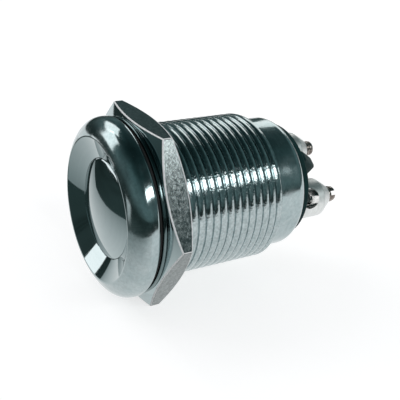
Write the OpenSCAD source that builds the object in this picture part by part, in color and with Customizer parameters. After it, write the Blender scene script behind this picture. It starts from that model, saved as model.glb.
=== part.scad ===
// Panel-mount metal pushbutton switch: momentary, one make contact, two pillar terminals.
// The axis is Y. The button faces -Y, and y = 0 is the panel's front face, under the bezel.
// Turned pieces are drawn as profiles of [radius, y], and angles run from +X towards +Z.

/* [Bezel] */
// Outside diameter of the bezel
bezel_d = 22; // [20.6:0.1:25]
// Height of the bezel's rim in front of the panel
bezel_h = 3.1; // [2.6:0.05:4]
// Straight side of the bezel next to the panel
bezel_flank = 0.8; // [0.5:0.05:1.2]
// Rounding of the bezel's rear edge
bezel_edge_r = 0.4; // [0.1:0.05:0.45]
// Diameter of the rim's crest
rim_d = 17.5; // [15:0.1:19]
// Width of the flat land on the rim
rim_land = 0.15; // [0.05:0.05:0.6]
// Depth of the dish from the rim to the button
dish_depth = 1.15; // [0.6:0.05:1.6]

/* [Barrel] */
// Crest diameter of the thread
thread_d = 19; // [17.8:0.1:20.2]
// Pitch of the thread
thread_pitch = 1; // [0.5:0.25:1.5]
// Length of the threaded barrel behind the panel's front face
thread_len = 17.6; // [14:0.1:30]
// Depth of the thread's grooves
thread_depth = 0.35; // [0.2:0.05:0.45]
// Chamfer at the end of the thread
thread_chamfer = 0.3; // [0.2:0.05:0.8]
// Step from the thread's crest down to the plain skirt
skirt_step = 0.95; // [0.85:0.05:1.2]
// Length of the plain skirt in front of its rolled lip
skirt_len = 3.3; // [2:0.1:8]
// Wall of the skirt
skirt_wall = 0.5; // [0.35:0.05:0.7]
// Outside radius of the rolled lip
lip_r = 1.3; // [1:0.05:1.6]
// Angle that the lip is rolled through
lip_angle = 60; // [45:1:75]

/* [Button] */
// Diameter of the button
button_d = 12.2; // [9:0.1:12.8]
// Height of the button's domed top
dome_h = 0.9; // [0.3:0.05:1.4]
// Rounding at the rim of the dome
button_edge = 0.2; // [0.1:0.05:0.4]
// Depth of the button's rim below the dish
button_recess = 0.1; // [0:0.05:0.5]
// Length of the bore that guides the button
guide_len = 7; // [6:0.1:9]
// Thickness of the flange that keeps the button in
flange_t = 1.5; // [1:0.1:2.5]
// Travel of the button
travel = 2; // [1:0.1:2.5]
// Thickness of the button's O-ring
button_seal_d = 1; // [0.6:0.05:1.4]
// Depth of the O-ring below the dish
button_seal_depth = 2.5; // [1.5:0.1:3.5]

/* [Contact mechanism] */
// Travel left after the contact has closed
overtravel = 0.5; // [0.2:0.05:0.9]
// Diameter of the plunger where it is fixed in the button
plunger_d = 4; // [3:0.1:5]
// Length of the plunger in the button
plunger_grip = 4; // [2.5:0.1:5]
// Diameter of the plunger's collar
collar_d = 6; // [5:0.1:8]
// Thickness of the plunger's collar
collar_t = 1; // [0.6:0.1:2]
// Diameter of the plunger's stem
stem_d = 2.2; // [1.8:0.05:2.5]
// Length of the contact spring at rest
contact_spring_len = 3.6; // [3:0.1:5]
// Wire of the contact spring
contact_wire_d = 0.35; // [0.25:0.05:0.45]
// Turns of the contact spring between its closed ends
contact_turns = 3.5; // [2:0.5:4]
// Thickness of the contact disc
disc_t = 0.8; // [0.5:0.05:1.2]
// Diameter of the clip behind the contact disc
clip_d = 3.4; // [3:0.1:3.7]
// Thickness of the clip
clip_t = 0.4; // [0.25:0.05:0.6]
// Stem left behind the clip
stem_end = 0.4; // [0.2:0.05:0.8]
// Wire of the return spring
return_wire_d = 0.6; // [0.4:0.05:0.8]
// Turns of the return spring between its closed ends
return_turns = 4; // [3:0.5:6]
// Diameter of a contact rivet's head
rivet_head_d = 2.2; // [1.8:0.05:2.6]
// Thickness of a contact rivet's head
rivet_head_t = 0.6; // [0.4:0.05:1]
// Diameter of a contact rivet's shank
rivet_d = 1.4; // [0.8:0.05:1.8]
// Length of a contact rivet's shank
rivet_len = 2; // [1:0.1:3]

/* [Base] */
// Height of the base's rear face behind the skirt's straight end
base_out = 2.25; // [1.6:0.05:4]
// Rounding of the base's rear edge
base_edge_r = 0.3; // [0.1:0.05:0.6]
// Height of the collar inside the return spring
spring_collar_h = 3; // [1.5:0.1:3.5]
// Wall of that collar
spring_collar_wall = 0.4; // [0.3:0.05:0.6]
// Thickness of the base's O-ring
base_seal_d = 1; // [0.6:0.05:1.4]
// Distance of the base's O-ring from its front face
base_seal_depth = 2; // [1.2:0.1:3]
// Height of the barrier between the terminals
barrier_h = 4.75; // [3:0.05:9]
// Width of the barrier at its foot
barrier_w = 11.2; // [9:0.1:13.5]
// Width of the barrier at its top
barrier_top_w = 6.4; // [1:0.1:8]
// Straight height at the barrier's two ends
barrier_side_h = 1.8; // [0.4:0.05:2.6]

/* [Terminals] */
// Distance between the two terminals
terminal_spacing = 7.5; // [7:0.1:8.6]
// Direction from the axis to the first terminal
terminal_angle = -41; // [-180:1:180]
// Diameter of a pillar
post_d = 5.2; // [4.2:0.1:5.4]
// Length of a pillar up to its cone
post_len = 4.85; // [4.2:0.05:9]
// Length of the cone
post_cone = 1.85; // [0.8:0.05:2.6]
// Diameter at the end of the cone
post_tip_d = 2.7; // [2.5:0.05:3.4]
// Diameter of the wire hole
wire_d = 2.8; // [1.5:0.05:3]
// Distance from the wire hole's axis to the start of the cone
wire_drop = 2.4; // [0.9:0.05:2.6]
// Direction that the wire holes face
wire_angle = 24; // [-180:1:180]
// Diameter of a terminal's shank in the base
shank_d = 2.8; // [2.4:0.05:3]
// Diameter of a clamp screw
screw_d = 2.2; // [1.6:0.05:2.4]
// Length of a clamp screw outside its pillar
screw_out = 1.45; // [0.5:0.05:2.2]
// Width of the screwdriver slot
slot_w = 0.6; // [0.3:0.05:0.8]
// Depth of the screwdriver slot
slot_depth = 0.9; // [0.3:0.05:1.2]
// Direction of the first screw's slot
slot_angle_1 = 26; // [-180:1:180]
// Direction of the second screw's slot
slot_angle_2 = 116; // [-180:1:180]

/* [Panel nut, washer and gasket] */
// Width of the nut across its flats
nut_af = 22; // [20.5:0.1:25]
// Thickness of the nut
nut_t = 3.05; // [2:0.05:5]
// Diameter of the nut's flat end faces
nut_face_d = 21.4; // [20:0.1:22]
// Slope of the chamfers on the nut's corners
nut_chamfer = 25; // [15:1:30]
// Turn of the nut from corners on the X axis
nut_turn = -5.5; // [-30:0.5:30]
// Step from the bezel's side in to the washer's edge
washer_step = 0.2; // [0.1:0.05:0.6]
// Thickness of the washer
washer_t = 0.45; // [0.3:0.05:1.2]
// Step from the bezel's side in to the gasket's edge
gasket_step = 0.45; // [0.2:0.05:0.9]
// Thickness of the gasket
gasket_t = 0.3; // [0.2:0.05:1.5]
// Gap left between gasket and washer, where the panel goes
panel_gap = 0.08; // [0.05:0.01:8]

/* [Clearances] */
// Radial clearance of pieces that slide in each other
slide_clear = 0.05; // [0.03:0.01:0.08]
// Radial clearance of pieces that are pressed or screwed together
join_clear = 0.03; // [0.01:0.01:0.05]
// Clearance between faces that rest on each other
seat_clear = 0.02; // [0.01:0.01:0.05]
// Room round pieces that move past each other
free_clear = 0.3; // [0.2:0.05:0.4]

/* [Hidden] */
$fn = 72;

// Bezel and barrel
bezel_r = bezel_d / 2;
rim_r = rim_d / 2;
rim_y = -bezel_h;
mouth_y = rim_y + dish_depth;
thread_r = thread_d / 2;
pitch_r = thread_r - 0.325 * thread_pitch;
skirt_r = thread_r - skirt_step;
skirt_y = thread_len + skirt_len;
socket_r = skirt_r - skirt_wall;
lip_centre = [skirt_r - lip_r, skirt_y];
lip_inner_r = lip_r - skirt_wall;
base_seat_w = 0.45;
chamber_r = socket_r - base_seat_w;

// Button, from its dome back to its flange
button_r = button_d / 2;
bore_r = button_r + slide_clear;
shoulder_y = mouth_y + guide_len;
button_y = mouth_y + button_recess;
dome_r = button_r - button_edge;
dome_radius = (dome_r * dome_r + dome_h * dome_h) / (2 * dome_h);
dome_sweep = asin(dome_r / dome_radius);
seal_groove_w = button_seal_d * 1.25;
button_seal_y = mouth_y + button_seal_depth;
flange_y = shoulder_y + seat_clear;
flange_rear_y = flange_y + flange_t;
flange_r = chamber_r - free_clear;

// Contact mechanism, from the plunger's collar back to the base
stem_r = stem_d / 2;
collar_rear_y = flange_rear_y + collar_t;
disc_y = collar_rear_y + contact_spring_len;
disc_rear_y = disc_y + disc_t;
clip_y = disc_rear_y + seat_clear;
clip_rear_y = clip_y + clip_t;
clip_neck_r = stem_r * 0.7;
stem_rear_y = clip_rear_y + stem_end;
contact_y = disc_rear_y + travel - overtravel + seat_clear;
base_y = contact_y + rivet_head_t;
terminal_r = terminal_spacing / 2;
disc_r = terminal_r + rivet_head_d / 2 + 0.1;
spring_collar_in = disc_r + free_clear;
spring_collar_r = spring_collar_in + spring_collar_wall;
return_mean_r = spring_collar_r + 0.1 + return_wire_d / 2;
contact_mean_r = stem_r + free_clear + contact_wire_d / 2;

// Base and terminals
base_r = socket_r - slide_clear;
base_rear_y = skirt_y + base_out;
base_lip_r = lip_inner_r - slide_clear;
boss_r = lip_centre[0] + base_lip_r * cos(lip_angle);
recess_r = clip_d / 2 + free_clear;
recess_y = stem_rear_y + travel + free_clear;
base_seal_y = base_y + base_seal_depth;
post_r = post_d / 2;
barrier_t = terminal_spacing - post_d - 2 * free_clear;
barrier_half_w = barrier_w / 2;
cone_y = base_rear_y + post_len;
tip_y = cone_y + post_cone;
wire_y = cone_y - wire_drop;
screw_y = wire_y + wire_d / 2 + 0.1;
screw_rear_y = tip_y + screw_out;
screw_round = 0.35;

// Nut, washer and gasket
washer_y = gasket_t + panel_gap;
washer_rear_y = washer_y + washer_t;
washer_r = bezel_r - washer_step;
washer_edge = 0.1;
nut_y = washer_rear_y + seat_clear;
nut_rear_y = nut_y + nut_t;
nut_bore_r = pitch_r + join_clear;
nut_mouth_r = thread_r + 0.1;
nut_corner_r = nut_af / 2 / cos(30);
nut_slope = tan(nut_chamfer);

// Points on a round stretch of a profile
function arc(centre, r, from, to, steps) =
  [for (i = [0:steps]) let (a = from + (to - from) * i / steps) centre + r * [cos(a), sin(a)]];

// Points of the bezel's rounded nose, from the rim's crest to the straight side
function nose(steps) =
  [for (i = [0:steps]) let (a = 90 * i / steps)
    [rim_r + (bezel_r - rim_r) * sin(a), -bezel_flank - (bezel_h - bezel_flank) * cos(a)]];

// Corners of a ring groove or a ring, from its front edge to its rear edge
function groove(outer_r, inner_r, front_y, rear_y) =
  [[outer_r, front_y], [inner_r, front_y], [inner_r, rear_y], [outer_r, rear_y]];

// Vee grooves of the thread, one to each pitch that fits between two places
function turns(front_y, rear_y) =
  let (
    count = floor((rear_y - front_y) / thread_pitch),
    start_y = rear_y - (count - 0.5) * thread_pitch,
    half_w = 0.23 * thread_pitch
  )
  [if (count > 0) for (i = [0:count - 1]) let (y = start_y + i * thread_pitch)
    each [[thread_r, y - half_w], [thread_r - thread_depth, y], [thread_r, y + half_w]]];

// Revolves a profile about the switch's axis
module turned(profile) {
  rotate([-90, 0, 0]) rotate_extrude() polygon(profile);
}

// Turns the children about the axis, from +X towards +Z
module clocked(angle) {
  rotate([0, -angle, 0]) children();
}

// Places the children on a terminal's axis, without turning them
module at_terminal(side) {
  direction = terminal_angle + side;
  translate([terminal_r * cos(direction), 0, terminal_r * sin(direction)]) children();
}

// O-ring with the given outside radius
module seal_ring(outer_r, section_d, y) {
  rotate([-90, 0, 0]) rotate_extrude() translate([outer_r - section_d / 2, y]) circle(d = section_d);
}

// Compression spring with one closed turn at each end
module coil(front_y, rear_y, mean_r, wire_d, turns, steps, sides) {
  closed = 1.04 * wire_d;
  first_y = front_y + seat_clear + wire_d / 2;
  last_y = rear_y - seat_clear - wire_d / 2;
  lead = (last_y - first_y - 2 * closed) / turns;
  count = round((turns + 2) * steps);
  function height(t) =
    t < 1 ? first_y + closed * t
    : t > turns + 1 ? last_y - closed * (turns + 2 - t)
    : first_y + closed + lead * (t - 1);
  points = [
    for (i = [0:count], j = [0:sides - 1])
      let (a = 360 * i / steps, b = 360 * j / sides, r = mean_r + wire_d / 2 * cos(b))
        [r * cos(a), height(i / steps) + wire_d / 2 * sin(b), r * sin(a)]
  ];
  walls = [
    for (i = [0:count - 1], j = [0:sides - 1])
      let (k = (j + 1) % sides, p = i * sides, q = p + sides)
        [p + j, p + k, q + k, q + j]
  ];
  ends = [
    [for (j = [sides - 1:-1:0]) j],
    [for (j = [0:sides - 1]) count * sides + j]
  ];
  polyhedron(points, concat(walls, ends));
}

// Bezel, threaded barrel and skirt in one piece. The thread's turns are closed rings,
// and its pitch line alone is drawn where the nut is screwed on.
module housing() {
  color("LightSteelBlue")
  turned(concat(
    [[bore_r, shoulder_y], [bore_r, mouth_y], [rim_r - rim_land, rim_y]],
    nose(10),
    arc([bezel_r - bezel_edge_r, -bezel_edge_r], bezel_edge_r, 0, 90, 4),
    [[thread_r, 0]],
    turns(0, nut_y - seat_clear),
    groove(thread_r, pitch_r, nut_y - seat_clear, nut_rear_y + seat_clear),
    turns(nut_rear_y + seat_clear, thread_len - thread_chamfer),
    [
      [thread_r, thread_len - thread_chamfer],
      [thread_r - thread_chamfer, thread_len],
      [skirt_r, thread_len]
    ],
    arc(lip_centre, lip_r, 0, lip_angle, 6),
    arc(lip_centre, lip_inner_r, lip_angle, 0, 6),
    [[socket_r, base_y], [chamber_r, base_y], [chamber_r, shoulder_y]]
  ));
}

// Flat sealing ring under the bezel
module panel_gasket() {
  color("DimGray")
  turned(groove(bezel_r - gasket_step, thread_r + slide_clear, 0, gasket_t));
}

// Plain washer in front of the nut
module panel_washer() {
  color("Gainsboro")
  turned([
    [nut_mouth_r, washer_y],
    [washer_r - washer_edge, washer_y],
    [washer_r, washer_y + washer_edge],
    [washer_r, washer_rear_y - washer_edge],
    [washer_r - washer_edge, washer_rear_y],
    [nut_mouth_r, washer_rear_y]
  ]);
}

// Thin hexagon nut, chamfered on both sides
module panel_nut() {
  overhang = 1;
  cut_r = nut_corner_r + overhang;
  cut_depth = (cut_r - nut_face_d / 2) * nut_slope;
  mouth_depth = nut_mouth_r - nut_bore_r;
  color("Silver")
  clocked(nut_turn)
  intersection() {
    rotate([-90, 0, 0])
    translate([0, 0, nut_y - overhang])
    cylinder(r = nut_corner_r, h = nut_t + 2 * overhang, $fn = 6);
    turned([
      [nut_bore_r, nut_y + mouth_depth],
      [nut_mouth_r, nut_y],
      [nut_face_d / 2, nut_y],
      [cut_r, nut_y + cut_depth],
      [cut_r, nut_rear_y - cut_depth],
      [nut_face_d / 2, nut_rear_y],
      [nut_mouth_r, nut_rear_y],
      [nut_bore_r, nut_rear_y - mouth_depth]
    ]);
  }
}

// Domed button with a seal groove, a stop flange and a socket for the plunger
module button() {
  grip_r = plunger_d / 2 + join_clear;
  grip_y = flange_rear_y - plunger_grip - seat_clear;
  groove_r = button_r - button_seal_d - seat_clear;
  color("LightSteelBlue")
  turned(concat(
    arc([0, button_y - dome_h + dome_radius], dome_radius, -90, -90 + dome_sweep, 10),
    [[button_r, button_y + button_edge]],
    groove(button_r, groove_r, button_seal_y - seal_groove_w / 2, button_seal_y + seal_groove_w / 2),
    [
      [button_r, flange_y],
      [flange_r, flange_y],
      [flange_r, flange_rear_y],
      [grip_r, flange_rear_y],
      [grip_r, grip_y],
      [0, grip_y]
    ]
  ));
}

module button_seal() {
  color("DimGray") seal_ring(button_r, button_seal_d, button_seal_y);
}

// Insulating stem that carries the contact disc
module plunger() {
  color("Ivory")
  turned(concat(
    [
      [0, flange_rear_y - plunger_grip],
      [plunger_d / 2, flange_rear_y - plunger_grip],
      [plunger_d / 2, flange_rear_y + seat_clear],
      [collar_d / 2, flange_rear_y + seat_clear],
      [collar_d / 2, collar_rear_y],
      [stem_r, collar_rear_y]
    ],
    groove(stem_r, clip_neck_r, clip_y, clip_rear_y),
    [[stem_r, stem_rear_y], [0, stem_rear_y]]
  ));
}

module return_spring() {
  color("SlateGray") coil(flange_rear_y, base_y, return_mean_r, return_wire_d, return_turns, 24, 8);
}

module contact_spring() {
  color("SlateGray") coil(collar_rear_y, disc_y, contact_mean_r, contact_wire_d, contact_turns, 18, 6);
}

// Disc that bridges the two contacts, whichever way the button has turned
module contact_disc() {
  color("Goldenrod") turned(groove(disc_r, stem_r + slide_clear, disc_y, disc_rear_y));
}

// Open clip in the stem's groove
module disc_clip() {
  neck_r = clip_neck_r + join_clear;
  gap_w = 1.6 * clip_neck_r;
  color("DarkGray")
  difference() {
    turned(groove(clip_d / 2, neck_r, clip_y + seat_clear, clip_rear_y - seat_clear));
    translate([0, clip_y, -gap_w / 2]) cube([clip_d, clip_t, gap_w]);
  }
}

// Moulded insulator, held by the rolled lip, with a collar that centres the return spring
module base() {
  seal_r = base_r - base_seal_d - seat_clear;
  seal_w = base_seal_d * 1.25;
  color([0.08, 0.08, 0.09])
  difference() {
    turned(concat(
      [[0, recess_y], [recess_r, recess_y], [recess_r, base_y], [spring_collar_in, base_y]],
      [[spring_collar_in, base_y - spring_collar_h], [spring_collar_r, base_y - spring_collar_h]],
      [[spring_collar_r, base_y], [base_r, base_y]],
      groove(base_r, seal_r, base_seal_y - seal_w / 2, base_seal_y + seal_w / 2),
      arc(lip_centre, base_lip_r, 0, lip_angle, 6),
      arc([boss_r - base_edge_r, base_rear_y - base_edge_r], base_edge_r, 0, 90, 4),
      [[0, base_rear_y]]
    ));
    for (side = [0, 180])
      at_terminal(side)
      rotate([-90, 0, 0])
      translate([0, 0, base_y - 1])
      cylinder(d = shank_d + 2 * join_clear, h = base_rear_y - base_y + 2);
  }
}

// Wall between the terminals on the base's rear face, sloped towards both ends
module barrier() {
  side_y = base_rear_y + barrier_side_h;
  top_y = base_rear_y + barrier_h;
  color([0.08, 0.08, 0.09])
  clocked(terminal_angle + 90)
  linear_extrude(height = barrier_t, center = true)
  polygon([
    [-barrier_half_w, base_rear_y],
    [-barrier_half_w, side_y],
    [-barrier_top_w / 2, top_y],
    [barrier_top_w / 2, top_y],
    [barrier_half_w, side_y],
    [barrier_half_w, base_rear_y]
  ]);
}

module base_seal() {
  color("DimGray") seal_ring(base_r, base_seal_d, base_seal_y);
}

// Pillar with a cone, a tapped end and a wire hole across it
module terminal(side) {
  rivet_r = rivet_d / 2 + join_clear;
  tapped_r = screw_d / 2 + join_clear;
  color("Gainsboro")
  at_terminal(side)
  difference() {
    turned([
      [rivet_r, base_y],
      [shank_d / 2, base_y],
      [shank_d / 2, base_rear_y],
      [post_r, base_rear_y],
      [post_r, cone_y],
      [post_tip_d / 2, tip_y],
      [tapped_r, tip_y],
      [tapped_r, wire_y],
      [0, wire_y],
      [0, base_y + rivet_len + seat_clear],
      [rivet_r, base_y + rivet_len + seat_clear]
    ]);
    clocked(wire_angle)
    translate([0, wire_y, 0])
    rotate([0, 90, 0])
    cylinder(d = wire_d, h = 2 * post_d, center = true);
  }
}

// Slotted screw, backed off so that the wire hole is free
module clamp_screw(side, slot_angle) {
  screw_r = screw_d / 2;
  color("Silver")
  at_terminal(side)
  difference() {
    turned(concat(
      [[0, screw_y], [screw_r, screw_y]],
      arc([screw_r - screw_round, screw_rear_y - screw_round], screw_round, 0, 90, 5),
      [[0, screw_rear_y]]
    ));
    clocked(slot_angle)
    translate([-screw_d, screw_rear_y - slot_depth, -slot_w / 2])
    cube([2 * screw_d, 2 * slot_depth, slot_w]);
  }
}

// Contact rivet in the front end of a terminal
module fixed_contact(side) {
  edge = 0.15;
  head_r = rivet_head_d / 2;
  color("WhiteSmoke")
  at_terminal(side)
  turned([
    [0, contact_y],
    [head_r - edge, contact_y],
    [head_r, contact_y + edge],
    [head_r, base_y],
    [rivet_d / 2, base_y],
    [rivet_d / 2, base_y + rivet_len],
    [0, base_y + rivet_len]
  ]);
}

housing();
panel_gasket();
panel_washer();
panel_nut();
button();
button_seal();
plunger();
return_spring();
contact_spring();
contact_disc();
disc_clip();
base();
barrier();
base_seal();
terminal(0);  // terminal_1
terminal(180);  // terminal_2
clamp_screw(0, slot_angle_1);  // clamp_screw_1
clamp_screw(180, slot_angle_2);  // clamp_screw_2
fixed_contact(0);  // fixed_contact_1
fixed_contact(180);  // fixed_contact_2
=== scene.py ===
# %% [markdown]
# This lesson dresses a panel-mount pushbutton switch: a polished metal housing with a dished bezel and a
# threaded barrel, a hexagon nut, a domed button, and two pillar terminals at the back. The solid model gives
# every place and every fit. Here each visible piece gets its thread, its rounded edges and its finish.
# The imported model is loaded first, because all that follows is placed by it.

# %% Load the solid model
import math

import bpy
from mathutils import Matrix, Vector


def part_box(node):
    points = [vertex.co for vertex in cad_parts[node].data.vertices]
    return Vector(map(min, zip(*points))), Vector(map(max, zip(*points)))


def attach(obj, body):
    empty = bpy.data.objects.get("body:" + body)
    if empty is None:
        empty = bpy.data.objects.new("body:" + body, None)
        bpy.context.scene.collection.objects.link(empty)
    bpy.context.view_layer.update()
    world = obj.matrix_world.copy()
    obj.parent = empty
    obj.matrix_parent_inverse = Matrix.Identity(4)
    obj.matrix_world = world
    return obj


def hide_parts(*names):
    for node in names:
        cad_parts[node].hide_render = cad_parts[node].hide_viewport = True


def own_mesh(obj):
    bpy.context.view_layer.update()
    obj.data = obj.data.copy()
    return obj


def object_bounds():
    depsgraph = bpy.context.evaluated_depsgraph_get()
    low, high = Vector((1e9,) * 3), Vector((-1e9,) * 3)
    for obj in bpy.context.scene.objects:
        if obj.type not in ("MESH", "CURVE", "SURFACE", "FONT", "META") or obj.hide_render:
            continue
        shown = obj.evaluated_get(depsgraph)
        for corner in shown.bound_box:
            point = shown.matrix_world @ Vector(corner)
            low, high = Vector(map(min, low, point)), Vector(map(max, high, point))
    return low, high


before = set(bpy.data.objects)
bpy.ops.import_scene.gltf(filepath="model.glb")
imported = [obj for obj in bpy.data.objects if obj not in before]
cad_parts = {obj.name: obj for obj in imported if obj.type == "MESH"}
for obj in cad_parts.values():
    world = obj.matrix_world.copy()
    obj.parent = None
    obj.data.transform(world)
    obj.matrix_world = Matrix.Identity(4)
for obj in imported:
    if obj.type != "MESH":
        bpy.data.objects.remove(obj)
cad_low, cad_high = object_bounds()
MM = 0.001
print("solid model:", [round(v / MM, 2) for v in cad_low], "to", [round(v / MM, 2) for v in cad_high], "mm")


# %% [markdown]
# A machinist thinks in millimetres, so the pieces are drawn in millimetres and made a thousandth of that
# size at the end. The main sizes are read from the solids, which keeps the picture true to them, and the
# few that no box can show are written here by name.

# %% Sizes, in millimetres
def solid_range(node, axis):
    low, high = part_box(node)
    return low[axis] / MM, high[axis] / MM


bezel_r = solid_range("housing", 0)[1]
rim_y = solid_range("housing", 1)[0]
washer_r = solid_range("panel_washer", 0)[1]
washer_y, washer_rear_y = solid_range("panel_washer", 1)
nut_y, nut_rear_y = solid_range("panel_nut", 1)
dome_y = solid_range("button", 1)[0]
flange_rear_y = solid_range("button", 1)[1]
flange_r = solid_range("button", 0)[1]
button_r = solid_range("button_seal", 0)[1]
base_y = solid_range("fixed_contact_1", 1)[0] + 0.6
base_rear_y = solid_range("barrier", 1)[0]
barrier_top_y = solid_range("barrier", 1)[1]
tip_y = solid_range("terminal_1", 1)[1]
screw_y, screw_rear_y = solid_range("clamp_screw_1", 1)
thread_r = 9.5
thread_len = 17.6
skirt_r = 8.55
skirt_len = 3.3
terminal_r = 3.75
terminal_angle = -41
wire_angle = 24
print("bezel radius", round(bezel_r, 2), "button radius", round(button_r, 2), "nut from", round(nut_y, 2))


# %% [markdown]
# The camera stands where the photograph was taken from: to the right of the button and a little above it.
# Its place is given by two angles and a distance, and then it is turned slightly off the switch's front
# centre, so that the whole switch is in the middle of the square picture. The long lens keeps the round
# bezel from looking stretched.

# %% Camera
view_azimuth = math.radians(64.898)
view_elevation = math.radians(22.62)
view_distance = 87.99
view_yaw = math.radians(6.376)
view_pitch = math.radians(0.494)
picture_px = 400
focal_px = 725.407
sensor_mm = 36

back = Vector((
    math.sin(view_azimuth) * math.cos(view_elevation),
    -math.cos(view_azimuth) * math.cos(view_elevation),
    math.sin(view_elevation),
))
right = Vector((math.cos(view_azimuth), math.sin(view_azimuth), 0))
up = back.cross(right)
facing = Matrix((right, up, back)).transposed()
aim = Matrix.Rotation(-view_yaw, 3, "Y") @ Matrix.Rotation(view_pitch, 3, "X")
bpy.ops.object.camera_add(location=back * view_distance * MM)
camera = bpy.context.object
camera.name = "camera"
camera.rotation_euler = (facing @ aim).to_euler()
camera.data.sensor_width = sensor_mm
camera.data.lens = focal_px / picture_px * sensor_mm
camera.data.clip_start = 0.005
bpy.context.scene.camera = camera
print("camera at", [round(v / MM, 1) for v in camera.location], "mm, lens", round(camera.data.lens, 1))


# %% [markdown]
# Polished metal shows the room more than itself, so the room is built with care. The floor is plain and
# pale. The light comes from two window panes, a low strip and a pale wall on the left, and from a long soft
# box on the right. The rest of the room is a dark canopy, and only the metal sees it. A picture of a room could
# do the same, but a few plain shapes are easier to move.

# %% Floor
floor_gap = 0.05
floor_glow = 0.67
floor_z = cad_low.z / MM - floor_gap
scene = bpy.context.scene
scene.view_settings.view_transform = "Standard"


def add_node(tree, kind, links=(), **values):
    """A node with its settings, and its inputs linked or set by name or number."""
    node = tree.nodes.new(kind)
    for key, value in values.items():
        setattr(node, key, value)
    for key, value in dict(links).items():
        if isinstance(value, bpy.types.NodeSocket):
            tree.links.new(value, node.inputs[key])
        else:
            node.inputs[key].default_value = value
    return node


def seen_directly(tree):
    """A value of 1 for rays from the camera, from gloss and through glass."""
    path = add_node(tree, "ShaderNodeLightPath").outputs
    most = add_node(tree, "ShaderNodeMath", {0: path["Is Camera Ray"], 1: path["Is Glossy Ray"]}, operation="ADD")
    links = {0: most.outputs[0], 1: path["Is Transmission Ray"]}
    return add_node(tree, "ShaderNodeMath", links, operation="ADD", use_clamp=True).outputs[0]


bpy.ops.mesh.primitive_plane_add(size=6, location=(0, 0, floor_z * MM))
floor = bpy.context.object
floor.name = "floor"
paper = bpy.data.materials.new("floor_paper")
paper.use_nodes = True
tree = paper.node_tree
shader = tree.nodes["Principled BSDF"].inputs
shader["Base Color"].default_value = (0.5, 0.5, 0.5, 1)
shader["Roughness"].default_value = 0.9
shader["Specular IOR Level"].default_value = 0.1
shader["Emission Color"].default_value = (1, 1, 1, 1)
glow = add_node(tree, "ShaderNodeMath", {0: seen_directly(tree), 1: floor_glow}, operation="MULTIPLY")
tree.links.new(glow.outputs[0], shader["Emission Strength"])
floor.data.materials.append(paper)
print("floor at", round(floor_z, 2), "mm")

# %% [markdown]
# A polished bezel with nothing dark round it would look like paper. So a large dark ball stands round the
# switch for the gloss to see, and dims from its middle to its top. Three flat cloths lie on the floor for the same
# end: a dark apron in front, a sheet in shade under the switch, and a pale path across the apron.

# %% World and dark canopy
fill_strength = 0.45
world = bpy.data.worlds.new("studio")
scene.world = world
world.use_nodes = True
tree = world.node_tree
fill = tree.nodes["Background"]
fill.inputs["Color"].default_value = (0.93, 0.97, 1, 1)
fill.inputs["Strength"].default_value = fill_strength
white = add_node(tree, "ShaderNodeBackground", {"Color": (1, 1, 1, 1), "Strength": 1})
choose = add_node(tree, "ShaderNodeMixShader", {0: seen_directly(tree), 1: fill.outputs[0], 2: white.outputs[0]})
tree.links.new(choose.outputs[0], tree.nodes["World Output"].inputs["Surface"])


def for_gloss_only(piece):
    piece.visible_camera = False
    piece.visible_diffuse = False
    piece.visible_transmission = False
    piece.visible_volume_scatter = False
    piece.visible_shadow = False


def dim_cloth(name, along, span, bands, patch_scale, patch_depth):
    """A dim glow whose colour changes along a direction, in soft patches."""
    cloth = bpy.data.materials.new(name)
    cloth.use_nodes = True
    tree = cloth.node_tree
    place = add_node(tree, "ShaderNodeTexCoord").outputs["Object"]
    reach = add_node(tree, "ShaderNodeVectorMath", {0: place, 1: along}, operation="DOT_PRODUCT").outputs["Value"]
    share = add_node(tree, "ShaderNodeMapRange", {"Value": reach, "From Min": span[0], "From Max": span[1]})
    ramp = add_node(tree, "ShaderNodeValToRGB", {0: share.outputs[0]})
    stops = ramp.color_ramp.elements
    for i, (at, colour) in enumerate(bands):
        stop = stops[i] if i < 2 else stops.new(at)
        stop.position = at
        stop.color = (*colour, 1)
    noise = add_node(tree, "ShaderNodeTexNoise", {"Vector": place, "Scale": patch_scale, "Detail": 2})
    strength = add_node(
        tree,
        "ShaderNodeMapRange",
        {"Value": noise.outputs[0], "From Min": 0.35, "From Max": 0.65, "To Min": 1 - patch_depth, "To Max": 1},
    )
    links = {"Color": ramp.outputs[0], "Strength": strength.outputs[0]}
    light = add_node(tree, "ShaderNodeEmission", links)
    tree.links.new(light.outputs[0], tree.nodes["Material Output"].inputs["Surface"])
    return cloth


canopy_r = 2.5
canopy_bands = [
    (0.5, (0.055, 0.085, 0.083)),
    (1.0, (0.016, 0.04, 0.042)),
    (0.63, (0.15, 0.23, 0.235)),
    (0.8, (0.1, 0.17, 0.175)),
    (0.92, (0.03, 0.07, 0.072)),
]
bpy.ops.mesh.primitive_uv_sphere_add(segments=64, ring_count=32, radius=canopy_r)
canopy = bpy.context.object
canopy.name = "dark_canopy"
canopy.data.materials.append(dim_cloth("canopy_cloth", (0.15, 0, 1), (-canopy_r, canopy_r), canopy_bands, 0.6, 0.5))
for_gloss_only(canopy)
print("canopy radius", canopy_r, "m")

# %% Cloths on the floor
def flat_cloth(name, corners, height, cloth):
    """A flat piece of cloth with the given corners, in millimetres, that only the metal sees."""
    bpy.ops.mesh.primitive_circle_add(vertices=len(corners), radius=1, fill_type="NGON")
    piece = bpy.context.object
    piece.name = name
    for corner, (x, y) in zip(piece.data.vertices, corners):
        corner.co = Vector((x, y, height)) * MM
    piece.data.materials.append(cloth)
    for_gloss_only(piece)
    print(name, "with", len(corners), "corners")


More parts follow.
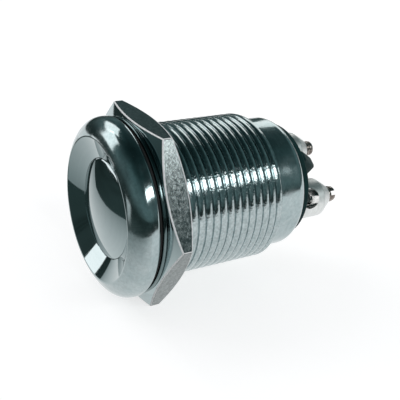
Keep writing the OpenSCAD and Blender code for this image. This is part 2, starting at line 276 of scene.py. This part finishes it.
apron_edge = [
    (-2900, -1300), (-118, -32), (-47, -22), (-27, -25.5), (-12, -30), (4, -35), (18, -33.5), (34, -26.5), (47, -16),
    (56, -5), (68, 30), (82, 71), (2900, 2600), (2900, -2900), (-2900, -2900),
]
apron_bands = [(0, (0.04, 0.065, 0.063)), (1, (0.04, 0.065, 0.063))]
apron_cloth = dim_cloth("apron_cloth", (0, 1, 0), (-1, 1), apron_bands, 9, 0.6)
flat_cloth("dark_apron", apron_edge, floor_z + 0.3, apron_cloth)
sheet_edge = [(-130, -60), (-130, 0), (-20, 0), (60, 0), (60, -60)]
sheet_bands = [(0, (0.36, 0.4, 0.4)), (1, (0.97, 0.97, 0.97))]
sheet_cloth = dim_cloth("sheet_paper", (0, 1, 0), (-0.028, -0.002), sheet_bands, 20, 0.1)
flat_cloth("shaded_sheet", sheet_edge, floor_z + 0.1, sheet_cloth)
path_edge = [(-2, -46), (-8, -46), (-85, -300), (-15, -300)]
path_bands = [(0, (0.75, 0.78, 0.78)), (1, (0.5, 0.54, 0.54))]
path_cloth = dim_cloth("path_paper", (0, 1, 0), (-0.1, -0.04), path_bands, 20, 0.1)
flat_cloth("pale_path", path_edge, floor_z + 0.4, path_cloth)


# %% [markdown]
# Each lamp is a soft box: a flat area light that shows in the metal as a bright patch. It is placed by two
# angles, as seen from the switch, and its size is given as angles too, so a patch can be moved or widened
# without working out lengths. Points of light would be simpler, but they leave only sparks on a polished bezel.

# %% Lamps
def soft_box(name, azimuth, elevation, wide, high, radiance, colour, distance=1.5):
    """An area lamp that covers the given angles, seen from the switch, and faces it."""
    a, e = math.radians(azimuth), math.radians(elevation)
    toward = Vector((math.sin(a) * math.cos(e), -math.cos(a) * math.cos(e), math.sin(e)))
    bpy.ops.object.light_add(type="AREA", location=toward * distance)
    lamp = bpy.context.object
    lamp.name = name
    lamp.rotation_euler = toward.to_track_quat("Z", "Y").to_euler()
    lamp.data.shape = "RECTANGLE"
    lamp.data.size = 2 * distance * math.tan(math.radians(wide) / 2)
    lamp.data.size_y = 2 * distance * math.tan(math.radians(high) / 2)
    lamp.data.energy = radiance * math.pi * lamp.data.size * lamp.data.size_y
    lamp.data.color = colour
    lamp.visible_camera = False
    return lamp


soft_box("window_pane_far", -76, 44, 28, 28, 1.75, (1, 0.97, 0.96))
soft_box("window_pane_near", -47.5, 31.5, 21, 31, 1.75, (1, 0.97, 0.97))
soft_box("low_strip", -50.5, 1, 27, 6, 1.9, (1, 0.95, 0.95), 0.25)
soft_box("pale_wall", -141, 24, 24, 26, 1.4, (1, 0.98, 0.96))
soft_box("long_soft_box", 103, 32, 45, 11, 5.5, (0.97, 1, 1))


# %% [markdown]
# Every finish on the switch has some of the same marks: cloudy patches where the plating is a little
# thicker, fine lines left by a tool, and rings left by the lathe. Each is one node group with named inputs,
# made once and placed in every material that needs it. The groups put out colours, values and heights
# only, and the shader stays in the material.

# %% Node groups for the finishes
def new_group(name, inputs, outputs):
    group = bpy.data.node_groups.new(name, "ShaderNodeTree")
    kinds = {"v": "NodeSocketVector", "f": "NodeSocketFloat", "c": "NodeSocketColor"}
    for label, kind in inputs:
        group.interface.new_socket(label, in_out="INPUT", socket_type=kinds[kind])
    for label, kind in outputs:
        group.interface.new_socket(label, in_out="OUTPUT", socket_type=kinds[kind])
    start = group.nodes.new("NodeGroupInput")
    end = group.nodes.new("NodeGroupOutput")
    return group, start.outputs, end.inputs


def cloudy_group():
    """Two colours in soft patches, and the patches as a value."""
    group, given, out = new_group(
        "cloudy_plating",
        [("Vector", "v"), ("Scale", "f"), ("Colour A", "c"), ("Colour B", "c")],
        [("Colour", "c"), ("Patch", "f")],
    )
    noise = add_node(group, "ShaderNodeTexNoise", {"Vector": given["Vector"], "Scale": given["Scale"], "Detail": 5})
    spread = add_node(group, "ShaderNodeMapRange", {"Value": noise.outputs["Fac"], "From Min": 0.32, "From Max": 0.68})
    mix = add_node(
        group,
        "ShaderNodeMix",
        {"Factor": spread.outputs[0], "A": given["Colour A"], "B": given["Colour B"]},
        data_type="RGBA",
    )
    group.links.new(mix.outputs["Result"], out["Colour"])
    group.links.new(spread.outputs[0], out["Patch"])
    return group


def spread_out(group, value, out):
    """Puts a noise out as a height, and with its middle stretched as a mask."""
    mask = add_node(group, "ShaderNodeMapRange", {"Value": value, "From Min": 0.36, "From Max": 0.64})
    group.links.new(value, out["Height"])
    group.links.new(mask.outputs[0], out["Mask"])


def tool_lines_group():
    """Long thin marks along one direction: the vector comes in stretched that way."""
    group, given, out = new_group("tool_lines", [("Vector", "v"), ("Scale", "f")], [("Height", "f"), ("Mask", "f")])
    links = {"Vector": given["Vector"], "Scale": given["Scale"], "Detail": 6}
    spread_out(group, add_node(group, "ShaderNodeTexNoise", links).outputs[0], out)
    return group


def lathe_rings_group():
    """Fine rings round the Y axis, as a turning tool leaves them."""
    group, given, out = new_group("lathe_rings", [("Vector", "v"), ("Scale", "f")], [("Height", "f"), ("Mask", "f")])
    parts = add_node(group, "ShaderNodeSeparateXYZ", {0: given["Vector"]}).outputs
    flat = add_node(group, "ShaderNodeCombineXYZ", {"X": parts["X"], "Y": parts["Z"]})
    radius = add_node(group, "ShaderNodeVectorMath", {0: flat.outputs[0]}, operation="LENGTH")
    place = add_node(group, "ShaderNodeCombineXYZ", {"X": radius.outputs["Value"], "Y": parts["Y"]})
    links = {"Vector": place.outputs[0], "Scale": given["Scale"], "Detail": 3}
    spread_out(group, add_node(group, "ShaderNodeTexNoise", links).outputs[0], out)
    return group


CLOUDY = cloudy_group()
TOOL_LINES = tool_lines_group()
LATHE_RINGS = lathe_rings_group()
print("node groups:", [g.name for g in bpy.data.node_groups])


# %% [markdown]
# The finishes are built from those groups. Polished plating is almost a mirror, a little greenish grey. The
# outside of the bezel is the same but tumbled, so it is a little softer, and the thread has tiny pits. The
# nut's flats are milled and dull, with edges that are worn and carry a painted highlight in near white, and the
# washer's plating is painted darker, as painted shade between the bezel and the nut. The terminals are turned
# and plain, with a rough bright hole, and the screws are browned steel. The base is moulded black plastic and
# the seals are rubber. Inside are drawn steel, brass, silver and a pale plastic stem, which show when the
# switch is taken apart.

# %% Materials
def finish(name, colours, cloud_scale, roughness, metallic, marks, specular=0.5):
    """A material with cloudy colour and gloss, and marks that darken it and give it a relief."""
    kind, scale, stretch, bump, tone = marks
    made = bpy.data.materials.new(name)
    made.use_nodes = True
    tree = made.node_tree
    shader = tree.nodes["Principled BSDF"].inputs
    shader["Metallic"].default_value = metallic
    shader["Specular IOR Level"].default_value = specular
    place = add_node(tree, "ShaderNodeTexCoord").outputs["Object"]
    links = {"Vector": place, "Scale": cloud_scale, "Colour A": (*colours[0], 1), "Colour B": (*colours[1], 1)}
    cloud = add_node(tree, "ShaderNodeGroup", links, node_tree=CLOUDY).outputs
    spot = add_node(tree, "ShaderNodeMapping", {"Vector": place, "Scale": stretch}).outputs[0]
    mark = add_node(tree, "ShaderNodeGroup", {"Vector": spot, "Scale": scale}, node_tree=kind).outputs
    shade = add_node(tree, "ShaderNodeMapRange", {"Value": mark["Mask"], "To Min": 1 - tone, "To Max": 1})
    links = {"Factor": 1, "A": cloud["Colour"], "B": shade.outputs[0]}
    tint = add_node(tree, "ShaderNodeMix", links, data_type="RGBA", blend_type="MULTIPLY")
    tree.links.new(tint.outputs["Result"], shader["Base Color"])
    links = {"Value": cloud["Patch"], "To Min": roughness[0], "To Max": roughness[1]}
    tree.links.new(add_node(tree, "ShaderNodeMapRange", links).outputs[0], shader["Roughness"])
    links = {"Height": mark["Height"], "Distance": bump, "Strength": 1}
    tree.links.new(add_node(tree, "ShaderNodeBump", links).outputs[0], shader["Normal"])
    return made


def grains(size):
    return TOOL_LINES, 1, (size, size, size)


def rings(size):
    return LATHE_RINGS, size, (1, 1, 1)


polished_plating = finish(
    "polished_plating", ((0.38, 0.465, 0.475), (0.43, 0.505, 0.515)), 160, (0.03, 0.07), 1, (*rings(900), 1e-6, 0.05)
)
tumbled_plating = finish(
    "tumbled_plating", ((0.38, 0.465, 0.475), (0.44, 0.515, 0.525)), 700, (0.09, 0.18), 1, (*grains(2600), 3e-6, 0.12)
)
threaded_plating = finish(
    "threaded_plating", ((0.4, 0.48, 0.49), (0.5, 0.57, 0.58)), 1500, (0.05, 0.15), 1, (*grains(3500), 2.2e-5, 0.25)
)
# Painted shade: the washer's plating is made darker to stand for the shade between the bezel and the nut.
painted_shade_plating = finish(
    "painted_shade_plating", ((0.14, 0.195, 0.2), (0.2, 0.26, 0.265)), 700, (0.08, 0.18), 1, (*rings(2500), 2e-6, 0.2)
)
milled_plating = finish(
    "milled_plating",
    ((0.22, 0.25, 0.25), (0.36, 0.395, 0.395)),
    2500,
    (0.13, 0.24),
    1,
    (TOOL_LINES, 1, (3600, 11000, 3600), 8e-6, 0.45),
)
# Painted highlight: the worn nut edges are near white and not metallic, so they show bright as a highlight would.
worn_highlight_plating = finish(
    "worn_highlight_plating", ((0.9, 0.92, 0.92), (1, 1, 1)), 900, (0.3, 0.45), 0, (*grains(2500), 1e-5, 0.15)
)
turned_plating = finish(
    "turned_plating", ((0.76, 0.78, 0.77), (0.86, 0.87, 0.86)), 500, (0.42, 0.55), 1, (*rings(3000), 4e-6, 0.12)
)
drilled_plating = finish(
    "drilled_plating", ((0.94, 0.94, 0.93), (1, 1, 0.99)), 900, (0.08, 0.2), 1, (*grains(1600), 2e-5, 0.15)
)
browned_steel = finish(
    "browned_steel", ((0.22, 0.19, 0.17), (0.44, 0.4, 0.37)), 900, (0.2, 0.34), 1, (*rings(4000), 4e-6, 0.3)
)
drawn_steel = finish(
    "drawn_steel", ((0.45, 0.46, 0.48), (0.55, 0.56, 0.58)), 700, (0.22, 0.35), 1, (*grains(3000), 3e-6, 0.1)
)
stamped_brass = finish(
    "stamped_brass", ((0.72, 0.5, 0.2), (0.82, 0.62, 0.3)), 400, (0.25, 0.4), 1, (*rings(2500), 4e-6, 0.1)
)
rivet_silver = finish(
    "rivet_silver", ((0.8, 0.79, 0.75), (0.9, 0.88, 0.85)), 900, (0.2, 0.35), 1, (*rings(3500), 3e-6, 0.1)
)
moulded_black = finish(
    "moulded_black",
    ((0.008, 0.03, 0.03), (0.013, 0.046, 0.046)),
    600,
    (0.42, 0.55),
    0,
    (*grains(4000), 8e-6, 0.2),
    0.05,
)
moulded_pale = finish(
    "moulded_pale", ((0.78, 0.75, 0.67), (0.85, 0.83, 0.76)), 400, (0.35, 0.5), 0, (*grains(3000), 5e-6, 0.05)
)
soft_rubber = finish(
    "soft_rubber", ((0.01, 0.01, 0.01), (0.022, 0.022, 0.022)), 900, (0.6, 0.8), 0, (*grains(5000), 1e-5, 0.2), 0.3
)
print("materials:", len(bpy.data.materials))


# %% [markdown]
# Nearly every piece of this switch comes off a lathe. So the main tool here is a profile that is drawn point
# by point, as by extruding a vertex, and then swept round the axis with the Screw modifier. Spin could do it
# too, but the modifier also makes a thread, when each turn climbs by one pitch.

# %% Tools for turned pieces
def select_only(piece):
    bpy.ops.object.select_all(action="DESELECT")
    piece.select_set(True)
    bpy.context.view_layer.objects.active = piece


def draw_profile(name, points):
    """One vertex, extruded from point to point of [radius, y]."""
    bpy.ops.object.select_all(action="DESELECT")
    bpy.ops.mesh.primitive_plane_add(size=1)
    piece = bpy.context.object
    piece.name = name
    bpy.ops.object.mode_set(mode="EDIT")
    bpy.ops.mesh.select_mode(type="VERT")
    bpy.ops.mesh.select_all(action="SELECT")
    bpy.ops.mesh.merge(type="CENTER")
    here = Vector((*points[0], 0))
    bpy.ops.transform.translate(value=here)
    for point in points[1:]:
        there = Vector((*point, 0))
        bpy.ops.mesh.extrude_vertices_move(TRANSFORM_OT_translate={"value": there - here})
        here = there
    bpy.ops.object.mode_set(mode="OBJECT")
    return piece


def sweep(piece, steps, climb=0.0, turns=1):
    """Sweeps a profile round the Y axis, climbing by a pitch for a thread, and applies it."""
    select_only(piece)
    screw = piece.modifiers.new("sweep", "SCREW")
    screw.axis = "Y"
    screw.angle = math.tau
    screw.steps = screw.render_steps = steps
    screw.screw_offset = climb
    screw.iterations = turns
    screw.use_merge_vertices = False
    bpy.ops.object.modifier_apply(modifier="sweep")
    bpy.ops.object.mode_set(mode="EDIT")
    bpy.ops.mesh.select_all(action="SELECT")
    bpy.ops.mesh.remove_doubles(threshold=1e-4)
    bpy.ops.mesh.dissolve_degenerate(threshold=1e-5)
    bpy.ops.mesh.select_all(action="SELECT")
    bpy.ops.mesh.normals_make_consistent(inside=False)
    bpy.ops.object.mode_set(mode="OBJECT")
    return piece


def turned(name, points, steps=160):
    """A closed turned piece: its profile starts and ends on the axis or meets itself."""
    return sweep(draw_profile(name, points), steps)


def round_stretch(centre, radius, start, end, steps):
    """Points on an arc of a profile, by angles in degrees from the radius direction."""
    angles = [math.radians(start + (end - start) * i / steps) for i in range(steps + 1)]
    return [(centre[0] + radius * math.cos(a), centre[1] + radius * math.sin(a)) for a in angles]


def cut(piece, tool, operation):
    """A boolean with another object, applied, after which the other object is gone."""
    select_only(piece)
    mod = piece.modifiers.new("cut", "BOOLEAN")
    mod.operation = operation
    mod.solver = "EXACT"
    mod.object = tool
    bpy.ops.object.modifier_apply(modifier="cut")
    bpy.data.objects.remove(tool)


def soften(piece, width, segments=2, angle=25, material=-1, clamp=True):
    """A small bevel on every edge sharper than an angle, with a material, and kept from overlaps by clamp."""
    select_only(piece)
    mod = piece.modifiers.new("soften", "BEVEL")
    mod.width = width
    mod.segments = segments
    mod.limit_method = "ANGLE"
    mod.angle_limit = math.radians(angle)
    mod.use_clamp_overlap = clamp
    mod.material = material
    bpy.ops.object.modifier_apply(modifier="soften")


def settle(piece, node, body, material, smooth=30):
    """Brings a piece from millimetres to metres and puts it in the place of its solid."""
    select_only(piece)
    piece.scale = (MM, MM, MM)
    bpy.ops.object.transform_apply(location=True, rotation=True, scale=True)
    bpy.ops.object.shade_smooth_by_angle(angle=math.radians(smooth))
    if not piece.data.materials:
        piece.data.materials.append(material)
    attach(piece, body)
    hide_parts(node)
    low, high = [Vector(f(v.co[i] for v in piece.data.vertices) for i in range(3)) for f in (min, max)]
    print(piece.name, "has", len(piece.data.polygons), "faces, size", [round(v / MM, 2) for v in high - low], "mm")


# %% [markdown]
# A thread is a notch that climbs as it goes round. One pitch of its outline is drawn, from root over crest
# to root, and swept for as many turns as are needed and two more. The ends are cut square, the last turn is
# trimmed by a chamfer as on the real bar, and the sleeve is closed inwards so that it is a solid ring.

# %% Tool for threads
def threaded_sleeve(name, crest_r, pitch, front_y, rear_y, chamfer, steps):
    crest_round, crest_reach, root_round = 1.2 * pitch, 0.36 * pitch, 0.06 * pitch
    tilt = math.degrees(math.asin(crest_reach / crest_round))
    crest = round_stretch((crest_r - crest_round, 0.5 * pitch), crest_round, -tilt, tilt, 8)
    vee_r = crest[0][0] - (0.5 * pitch - crest_reach) / math.tan(math.radians(30))
    root_r = vee_r + root_round
    root_out = round_stretch((root_r + root_round, 0), root_round, 180, 120, 2)
    root_in = round_stretch((root_r + root_round, pitch), root_round, 240, 180, 2)
    turns = math.ceil((rear_y - front_y) / pitch) + 2
    points = [(r, y + front_y - 1.5 * pitch) for r, y in root_out + crest + root_in]
    sleeve = sweep(draw_profile(name, points), steps, pitch, turns)
    for vertex in sleeve.data.vertices:
        radius = math.hypot(vertex.co.x, vertex.co.z)
        limit = max(root_r, crest_r - max(0, vertex.co.y - (rear_y - chamfer)))
        if radius > limit:
            vertex.co.x *= limit / radius
            vertex.co.z *= limit / radius
    bpy.ops.object.mode_set(mode="EDIT")
    for y, side in ((front_y, "clear_inner"), (rear_y, "clear_outer")):
        bpy.ops.mesh.select_all(action="SELECT")
        bpy.ops.mesh.bisect(plane_co=(0, y, 0), plane_no=(0, 1, 0), threshold=1e-5, **{side: True})
    bpy.ops.mesh.select_all(action="SELECT")
    bpy.ops.mesh.remove_doubles(threshold=1e-4)
    bpy.ops.mesh.select_all(action="DESELECT")
    bpy.ops.mesh.select_mode(type="EDGE")
    bpy.ops.mesh.select_non_manifold(
        extend=False, use_wire=False, use_boundary=True, use_multi_face=False, use_non_contiguous=False, use_verts=False
    )
    bpy.ops.mesh.extrude_edges_move()
    shrink = (root_r - 0.08 * crest_r) / crest_r
    bpy.ops.transform.resize(value=(shrink, 1, shrink), center_override=(0, 0, 0))
    bpy.ops.mesh.bridge_edge_loops()
    bpy.ops.mesh.select_all(action="SELECT")
    bpy.ops.mesh.normals_make_consistent(inside=False)
    bpy.ops.object.mode_set(mode="OBJECT")
    return sleeve


# %% [markdown]
# The housing is one turned piece: the dished bezel, the long threaded barrel and a plain skirt whose lip is
# rolled over the base. Its smooth core is turned first, a little thinner than the thread's root, and the
# threaded sleeve is then joined to it. The edge of the rim is rounded a little, because a polished edge is
# never sharp and its round shows as the thin bright line at the rim.

# %% Housing
rim_r = 8.9
rim_land = 0.15
bore_r = button_r + 0.05
mouth_y = rim_y + 1.25
shoulder_y = rim_y + 8.15
flank = 0.8
bezel_edge = 0.45
lip_r = 1.3
skirt_wall = 0.5
skirt_y = thread_len + skirt_len
socket_r = skirt_r - skirt_wall
chamber_r = socket_r - 0.45
core_r = thread_r - 0.75
core_short = 0.05
lip_centre = (skirt_r - lip_r, skirt_y)
nose_start = math.radians(28)
nose_wide = (bezel_r - rim_r) / (1 - math.sin(nose_start))
nose_high = (-rim_y - flank) / math.cos(nose_start)
nose_angles = [nose_start + (math.pi / 2 - nose_start) * i / 32 for i in range(33)]
nose = [(bezel_r - nose_wide * (1 - math.sin(a)), -flank - nose_high * math.cos(a)) for a in nose_angles]
housing_profile = [
    (bore_r, shoulder_y),
    (bore_r, mouth_y + 0.03),
    (bore_r + 0.03, mouth_y),
    (rim_r - rim_land - 0.05, rim_y + 0.022),
    (rim_r - rim_land + 0.03, rim_y),
    *nose,
    *round_stretch((bezel_r - bezel_edge, -bezel_edge), bezel_edge, 0, 90, 10),
    (core_r, 0),
    (core_r, thread_len - core_short),
    (skirt_r, thread_len - core_short),
    *round_stretch(lip_centre, lip_r, 0, 60, 14),
    *round_stretch(lip_centre, lip_r - skirt_wall, 60, 0, 14),
    (socket_r, base_y),
    (chamber_r, base_y),
    (chamber_r, shoulder_y),
    (bore_r, shoulder_y),
]
housing = turned("switch_housing", housing_profile, 240)
thread_pitch = 1.0
thread_front_y = -0.917
thread_chamfer = 0.3
thread = threaded_sleeve("barrel_thread", thread_r, thread_pitch, thread_front_y, thread_len, thread_chamfer, 144)
for material in (polished_plating, tumbled_plating):
    housing.data.materials.append(material)
for face in housing.data.polygons:
    if math.hypot(face.center.x, face.center.z) > rim_r or face.center.y > thread_len:
        face.material_index = 1
thread.data.materials.append(threaded_plating)
select_only(housing)
thread.select_set(True)
bpy.ops.object.join()
settle(housing, "housing", "switch_body", polished_plating, 10)

# %% [markdown]
# The button is a plug with a polished dome. Only its dome and its rim can be seen in the dish, and the rest
# of it guides the button in its bore. The dome is a shallow cap of a large ball, drawn with many small
# steps, because a mirror shows every corner.

# %% Button
dome_h = 0.9
button_edge = 0.06
dome_edge_r = button_r - button_edge
ball_r = (dome_edge_r**2 + dome_h**2) / (2 * dome_h)
dome_sweep = math.degrees(math.asin(dome_edge_r / ball_r))
grip_r = 2.03
grip_y = flange_rear_y - 4.02
seal_y = rim_y + 3.65
groove_half = 0.625
groove_r = button_r - 1.02
button_profile = [
    *round_stretch((0, dome_y + ball_r), ball_r, -90, -90 + dome_sweep, 36),
    *round_stretch((button_r - 0.05, dome_y + dome_h + 0.06), 0.05, -65, 0, 4),
    (button_r, seal_y - groove_half),
    (groove_r, seal_y - groove_half),
    (groove_r, seal_y + groove_half),
    (button_r, seal_y + groove_half),
    (button_r, shoulder_y + 0.02),
    (flange_r, shoulder_y + 0.02),
    (flange_r, flange_rear_y),
    (grip_r, flange_rear_y),
    (grip_r, grip_y),
    (0, grip_y),
]
button_profile[0] = (0, dome_y)
button = turned("domed_button", button_profile, 240)
settle(button, "button", "push_button", polished_plating, 10)

# %% [markdown]
# A thin plain washer lies in front of the nut. It is stamped from sheet and tumbled, so both edges of its
# rim are round, and each round shows as one thin bright line. Its plating is painted darker, as painted shade
# between the bezel and the nut.

# %% Washer
washer_bore_r = thread_r + 0.1
washer_round = 0.18
washer = turned(
    "plain_washer",
    [
        (washer_bore_r, washer_y),
        *round_stretch((washer_r - washer_round, washer_y + washer_round), washer_round, -90, 0, 6),
        *round_stretch((washer_r - washer_round, washer_rear_y - washer_round), washer_round, 0, 90, 6),
        (washer_bore_r, washer_rear_y),
        (washer_bore_r, washer_y),
    ],
    192,
)
settle(washer, "panel_washer", "switch_body", painted_shade_plating)

# %% [markdown]
# The nut starts as a hexagon prism. Its corners are trimmed by a turned ring with sloped ends, the way a nut
# is chamfered on a lathe, which gives each flat its curved end lines. A fine bevel then rounds every edge. Round
# the flats the bevel gets the worn finish, painted near white as a highlight, the flats get the dull milled one,
# and the rest stays polished.

# %% Panel nut
nut_af = 22
nut_corner_r = nut_af / 2 / math.cos(math.radians(30))
nut_face_r = 10.7
nut_turn = -5.5
nut_bore_r = thread_r + 0.02
nut_slope = math.tan(math.radians(25))
nut_lead = 0.35
nut_edge = 0.12
nut_edge_steps = 3
over = 1.0
nut_cut = (nut_corner_r + over - nut_face_r) * nut_slope
bpy.ops.object.select_all(action="DESELECT")
bpy.ops.mesh.primitive_cylinder_add(
    vertices=6,
    radius=nut_corner_r,
    depth=nut_rear_y - nut_y + 2 * over,
    location=(0, (nut_y + nut_rear_y) / 2, 0),
    rotation=(math.radians(90), math.radians(-nut_turn - 30), 0),
)
nut = bpy.context.object
nut.name = "hexagon_nut"
bpy.ops.object.transform_apply(location=True, rotation=True, scale=True)
trim = turned(
    "nut_trim",
    [
        (nut_bore_r, nut_y + nut_lead),
        (nut_bore_r + nut_lead, nut_y),
        (nut_face_r, nut_y),
        (nut_corner_r + over, nut_y + nut_cut),
        (nut_corner_r + over, nut_rear_y - nut_cut),
        (nut_face_r, nut_rear_y),
        (nut_bore_r + nut_lead, nut_rear_y),
        (nut_bore_r, nut_rear_y - nut_lead),
        (nut_bore_r, nut_y + nut_lead),
    ],
    192,
)
cut(nut, trim, "INTERSECT")
for material in (polished_plating, milled_plating, worn_highlight_plating):
    nut.data.materials.append(material)
soften(nut, nut_edge, nut_edge_steps, angle=20, material=2, clamp=False)
for face in nut.data.polygons:
    reach = math.hypot(face.center.x, face.center.z)
    if face.material_index == 2 and reach < nut_face_r + 0.15:
        face.material_index = 0
    if face.material_index == 0 and reach > nut_face_r and abs(face.normal.y) < 0.05:
        face.material_index = 1
settle(nut, "panel_nut", "switch_body", milled_plating, 8)

# %% [markdown]
# The barrier between the terminals is a moulded wall that slopes down to both ends. Its outline is drawn
# flat, filled and extruded to its thickness, and a bevel gives the round edges of a moulding.

# %% Barrier
barrier_t = 1.7
barrier_half_w = 5.6
barrier_half_top = 3.2
barrier_side_y = base_rear_y + 1.8
barrier_outline = [
    (-barrier_half_w, base_rear_y),
    (-barrier_half_w, barrier_side_y),
    (-barrier_half_top, barrier_top_y),
    (barrier_half_top, barrier_top_y),
    (barrier_half_w, barrier_side_y),
    (barrier_half_w, base_rear_y),
]
barrier = draw_profile("terminal_barrier", barrier_outline)
bpy.ops.object.mode_set(mode="EDIT")
bpy.ops.mesh.select_all(action="SELECT")
bpy.ops.mesh.edge_face_add()
bpy.ops.mesh.extrude_region_move(TRANSFORM_OT_translate={"value": (0, 0, barrier_t)})
bpy.ops.mesh.select_all(action="SELECT")
bpy.ops.transform.translate(value=(0, 0, -barrier_t / 2))
bpy.ops.mesh.normals_make_consistent(inside=False)
bpy.ops.object.mode_set(mode="OBJECT")
soften(barrier, 0.35, 4, 20)
barrier.rotation_euler = (0, math.radians(-terminal_angle - 90), 0)
settle(barrier, "barrier", "switch_body", moulded_black, 40)


# %% [markdown]
# The two terminals are turned pillars with a cone at the end, a hole across for the wire and a clamp screw in
# the end. One pillar is turned with rounded edges, the hole is drilled through it with a boolean, and the
# wall of the hole gets its own rough bright finish. The second pillar is the same, so it is a copy.

# %% Terminals
post_r = 2.6
post_tip_r = 1.35
cone_len = 1.85
cone_y = tip_y - cone_len
wire_y = cone_y - 2.4
wire_r = 1.4
shank_r = 1.4
tapped_r = 1.13
rivet_r = 0.73
rivet_end_y = base_y + 2.02
shoulder, tip_edge = 0.3, 0.12
slope = math.atan((post_r - post_tip_r) / cone_len)
lean = math.degrees(slope)
shoulder_at = (post_r - shoulder, cone_y - shoulder * math.tan(slope / 2))
tip_at = (post_tip_r - tip_edge * (1 - math.sin(slope)) / math.cos(slope), tip_y - tip_edge)


def terminal_place(side):
    a = math.radians(terminal_angle + side)
    return Vector((terminal_r * math.cos(a), 0, terminal_r * math.sin(a)))


def copy_of(piece, name):
    """A second piece of the same shape, with a mesh of its own."""
    select_only(piece)
    bpy.ops.object.duplicate(linked=False)
    twin = bpy.context.object
    twin.name = name
    return twin


pillar = turned(
    "pillar_terminal_1",
    [
        (rivet_r, base_y),
        (shank_r, base_y),
        (shank_r, base_rear_y),
        *round_stretch((post_r - 0.12, base_rear_y + 0.12), 0.12, -90, 0, 4),
        *round_stretch(shoulder_at, shoulder, 0, lean, 6),
        *round_stretch(tip_at, tip_edge, lean, 90, 4),
        (tapped_r + 0.1, tip_y),
        (tapped_r, tip_y - 0.1),
        (tapped_r, wire_y),
        (0, wire_y),
        (0, rivet_end_y),
        (rivet_r, rivet_end_y),
        (rivet_r, base_y),
    ],
    96,
)
bpy.ops.object.select_all(action="DESELECT")
bpy.ops.mesh.primitive_cylinder_add(
    vertices=64, radius=wire_r, depth=12, location=(0, wire_y, 0), rotation=(0, math.radians(90 - wire_angle), 0)
)
drill = bpy.context.object
bpy.ops.object.transform_apply(location=True, rotation=True, scale=True)
cut(pillar, drill, "DIFFERENCE")
pillar.data.materials.append(turned_plating)
pillar.data.materials.append(drilled_plating)
wire_way = Vector((math.cos(math.radians(wire_angle)), 0, math.sin(math.radians(wire_angle))))
for face in pillar.data.polygons:
    corners = [pillar.data.vertices[i].co - Vector((0, wire_y, 0)) for i in face.vertices]
    if all(abs((c - c.dot(wire_way) * wire_way).length - wire_r) < 0.01 for c in corners):
        face.material_index = 1
twin = copy_of(pillar, "pillar_terminal_2")
for piece, number, side in ((pillar, 1, 0), (twin, 2, 180)):
    piece.location = terminal_place(side) * MM
    settle(piece, f"terminal_{number}", "switch_body", turned_plating)

# %% [markdown]
# Each clamp screw is a short threaded pin with a rounded, slotted end. It is backed off, so it stands out of
# its pillar. The same sleeve tool makes its thread, at a much finer pitch. The slot is sawn with a boolean in
# the pin and in the thread before they are joined. The inner end is worn bright, where it bites the wire. The
# second screw is a copy, given a quarter turn more.

# %% Clamp screws
screw_r = 1.1
screw_pitch = 0.45
slot_w = 0.6
slot_depth = 0.9
slot_angle = 26
core = screw_r - 0.34
pin = turned(
    "slotted_screw_1",
    [
        (0, screw_y),
        (core - 0.1, screw_y),
        (core, screw_y + 0.1),
        (core, screw_rear_y - 0.5),
        (screw_r - 0.12, screw_rear_y - 0.45),
        *round_stretch((screw_r - 0.42, screw_rear_y - 0.35), 0.35, 0, 90, 8),
        (0, screw_rear_y),
    ],
    72,
)
sleeve = threaded_sleeve("screw_thread", screw_r, screw_pitch, screw_y, screw_rear_y - 0.4, 0.15, 72)
for blank in (pin, sleeve):
    bpy.ops.object.select_all(action="DESELECT")
    bpy.ops.mesh.primitive_cube_add(
        size=1,
        location=(0, screw_rear_y, 0),
        scale=(4, 2 * slot_depth, slot_w),
        rotation=(0, math.radians(-slot_angle), 0),
    )
    blade = bpy.context.object
    bpy.ops.object.transform_apply(location=True, rotation=True, scale=True)
    cut(blank, blade, "DIFFERENCE")
select_only(pin)
sleeve.select_set(True)
bpy.ops.object.join()
for material in (browned_steel, drilled_plating):
    pin.data.materials.append(material)
for face in pin.data.polygons:
    if face.center.y < screw_y + 0.12 and face.normal.y < -0.5:
        face.material_index = 1
twin = copy_of(pin, "slotted_screw_2")
twin.rotation_euler = (0, math.radians(-90), 0)
for piece, number, side in ((pin, 1, 0), (twin, 2, 180)):
    piece.location = terminal_place(side) * MM
    settle(piece, f"clamp_screw_{number}", "switch_body", browned_steel)

# %% [markdown]
# Two springs work inside: a wide one pushes the button back, and a small one lets the contact disc give way.
# Each starts as a copy of its solid, with the loose triangles merged and one subdivision for a round wire.

# %% Springs
def wire_spring(node, body):
    """A spring with a smooth wire, made from a copy of its solid."""
    piece = bpy.data.objects.new("wound_" + node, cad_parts[node].data.copy())
    bpy.context.collection.objects.link(piece)
    select_only(piece)
    bpy.ops.object.mode_set(mode="EDIT")
    bpy.ops.mesh.select_all(action="SELECT")
    bpy.ops.mesh.remove_doubles(threshold=1e-7)
    bpy.ops.object.mode_set(mode="OBJECT")
    wire = piece.modifiers.new("wire", "SUBSURF")
    wire.levels = wire.render_levels = 1
    bpy.ops.object.modifier_apply(modifier="wire")
    bpy.ops.object.shade_smooth_by_angle(angle=math.radians(60))
    piece.data.materials.clear()
    piece.data.materials.append(drawn_steel)
    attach(piece, body)
    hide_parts(node)
    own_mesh(piece)


wire_spring("return_spring", "switch_body")
wire_spring("contact_spring", "push_button")

# %% [markdown]
# The other solids already have their right shape, so they keep their own mesh and get a finish each: the
# moulded base, the gasket and the seals, and the other works inside.

# %% Finishes on the solids that stay
kept_finishes = {
    "panel_gasket": soft_rubber,
    "button_seal": soft_rubber,
    "base_seal": soft_rubber,
    "base": moulded_black,
    "plunger": moulded_pale,
    "disc_clip": drawn_steel,
    "contact_disc": stamped_brass,
    "fixed_contact_1": rivet_silver,
    "fixed_contact_2": rivet_silver,
}
for node, material in kept_finishes.items():
    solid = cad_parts[node]
    solid.data.materials.clear()
    solid.data.materials.append(material)
print("finished solids:", len(kept_finishes))
